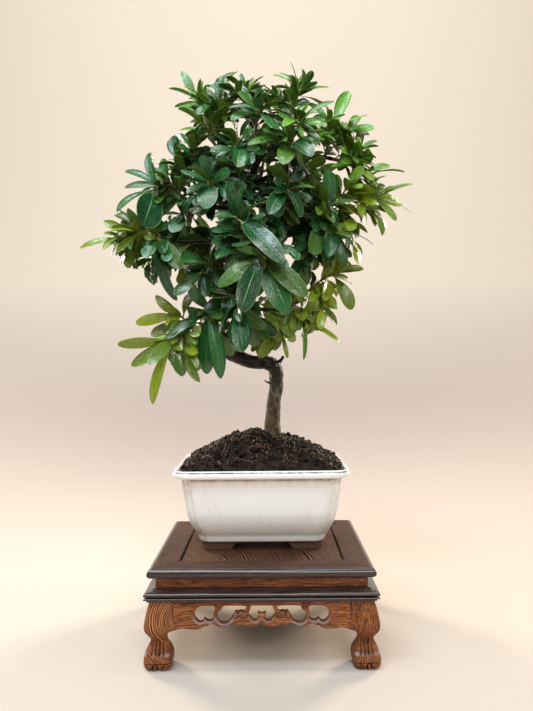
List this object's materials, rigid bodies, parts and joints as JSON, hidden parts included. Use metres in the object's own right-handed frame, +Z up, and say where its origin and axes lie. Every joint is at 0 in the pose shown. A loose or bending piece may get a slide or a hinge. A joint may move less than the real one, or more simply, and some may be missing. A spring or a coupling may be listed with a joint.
{
  "type": "scarlet firethorn bonsai",
  "caption": "Leafy firethorn bonsai with a bent trunk in a cream glazed rectangular pot, on a carved dark wooden display stand with claw feet.",
  "frame": {"origin": "bottom centre of the whole object's bounding box, on the surface it stands on", "axes": "+Z up, -Y the front of the tree and of the stand, +X to the right seen from the front"},
  "size_m": [0.3256, 0.2312, 0.567],
  "materials": {
    "stand_wood_dark": "polished near-black brown",
    "stand_wood_brown": "oiled, open grained, orange brown",
    "pot_glaze": "glossy off-white stoneware glaze with small brown specks",
    "drain_screen": "plain black mesh",
    "soil": "damp, crumbly, with tan root fibres",
    "bark": "dark, finely ridged bark, damp at the bend",
    "leaf": "glossy dark green above, matt yellow green below"
  },
  "bodies": {
    "root": {"stand_top_front": "stand_wood_dark", "stand_top_right": "stand_wood_dark", "stand_top_back": "stand_wood_dark", "stand_top_left": "stand_wood_dark", "stand_waist_front": "stand_wood_dark", "stand_waist_right": "stand_wood_dark", "stand_waist_back": "stand_wood_dark", "stand_waist_left": "stand_wood_dark", "stand_panel": "stand_wood_brown", "stand_apron_front": "stand_wood_brown", "stand_apron_right": "stand_wood_brown", "stand_apron_back": "stand_wood_brown", "stand_apron_left": "stand_wood_brown", "stand_leg_front_left": "stand_wood_brown", "stand_leg_front_right": "stand_wood_brown", "stand_leg_back_right": "stand_wood_brown", "stand_leg_back_left": "stand_wood_brown", "pot": "pot_glaze", "drain_screen_left": "drain_screen", "drain_screen_right": "drain_screen", "soil": "soil", "trunk": "bark", "spray_far_left": "leaf", "spray_left_drop": "leaf", "spray_left_mid": "leaf", "spray_left_top": "leaf", "spray_top_left": "leaf", "spray_top_centre_left": "leaf", "spray_top_centre": "leaf", "spray_top_mid": "leaf", "spray_top_right": "leaf", "spray_right_top_front": "leaf", "spray_right_top_low": "leaf", "spray_upper_right": "leaf", "spray_right_brown": "leaf", "spray_far_right_up": "leaf", "spray_far_right": "leaf", "spray_right_mid": "leaf", "spray_right_mid_low": "leaf", "spray_right_low_out": "leaf", "spray_right_low": "leaf", "spray_low_right": "leaf", "spray_low_centre": "leaf", "spray_low_left_centre": "leaf", "spray_low_left": "leaf", "spray_low_left_up": "leaf", "spray_left_inner": "leaf", "spray_front_up": "leaf", "spray_front_low": "leaf", "spray_front_left": "leaf", "spray_front_right": "leaf", "spray_front_top": "leaf", "spray_back_top": "leaf", "spray_back_left_up": "leaf", "spray_back_right_up": "leaf", "spray_back_left": "leaf", "spray_back_right": "leaf", "spray_back_mid": "leaf", "spray_back_low_left": "leaf", "spray_back_low_right": "leaf"}
  },
  "joints": []
}
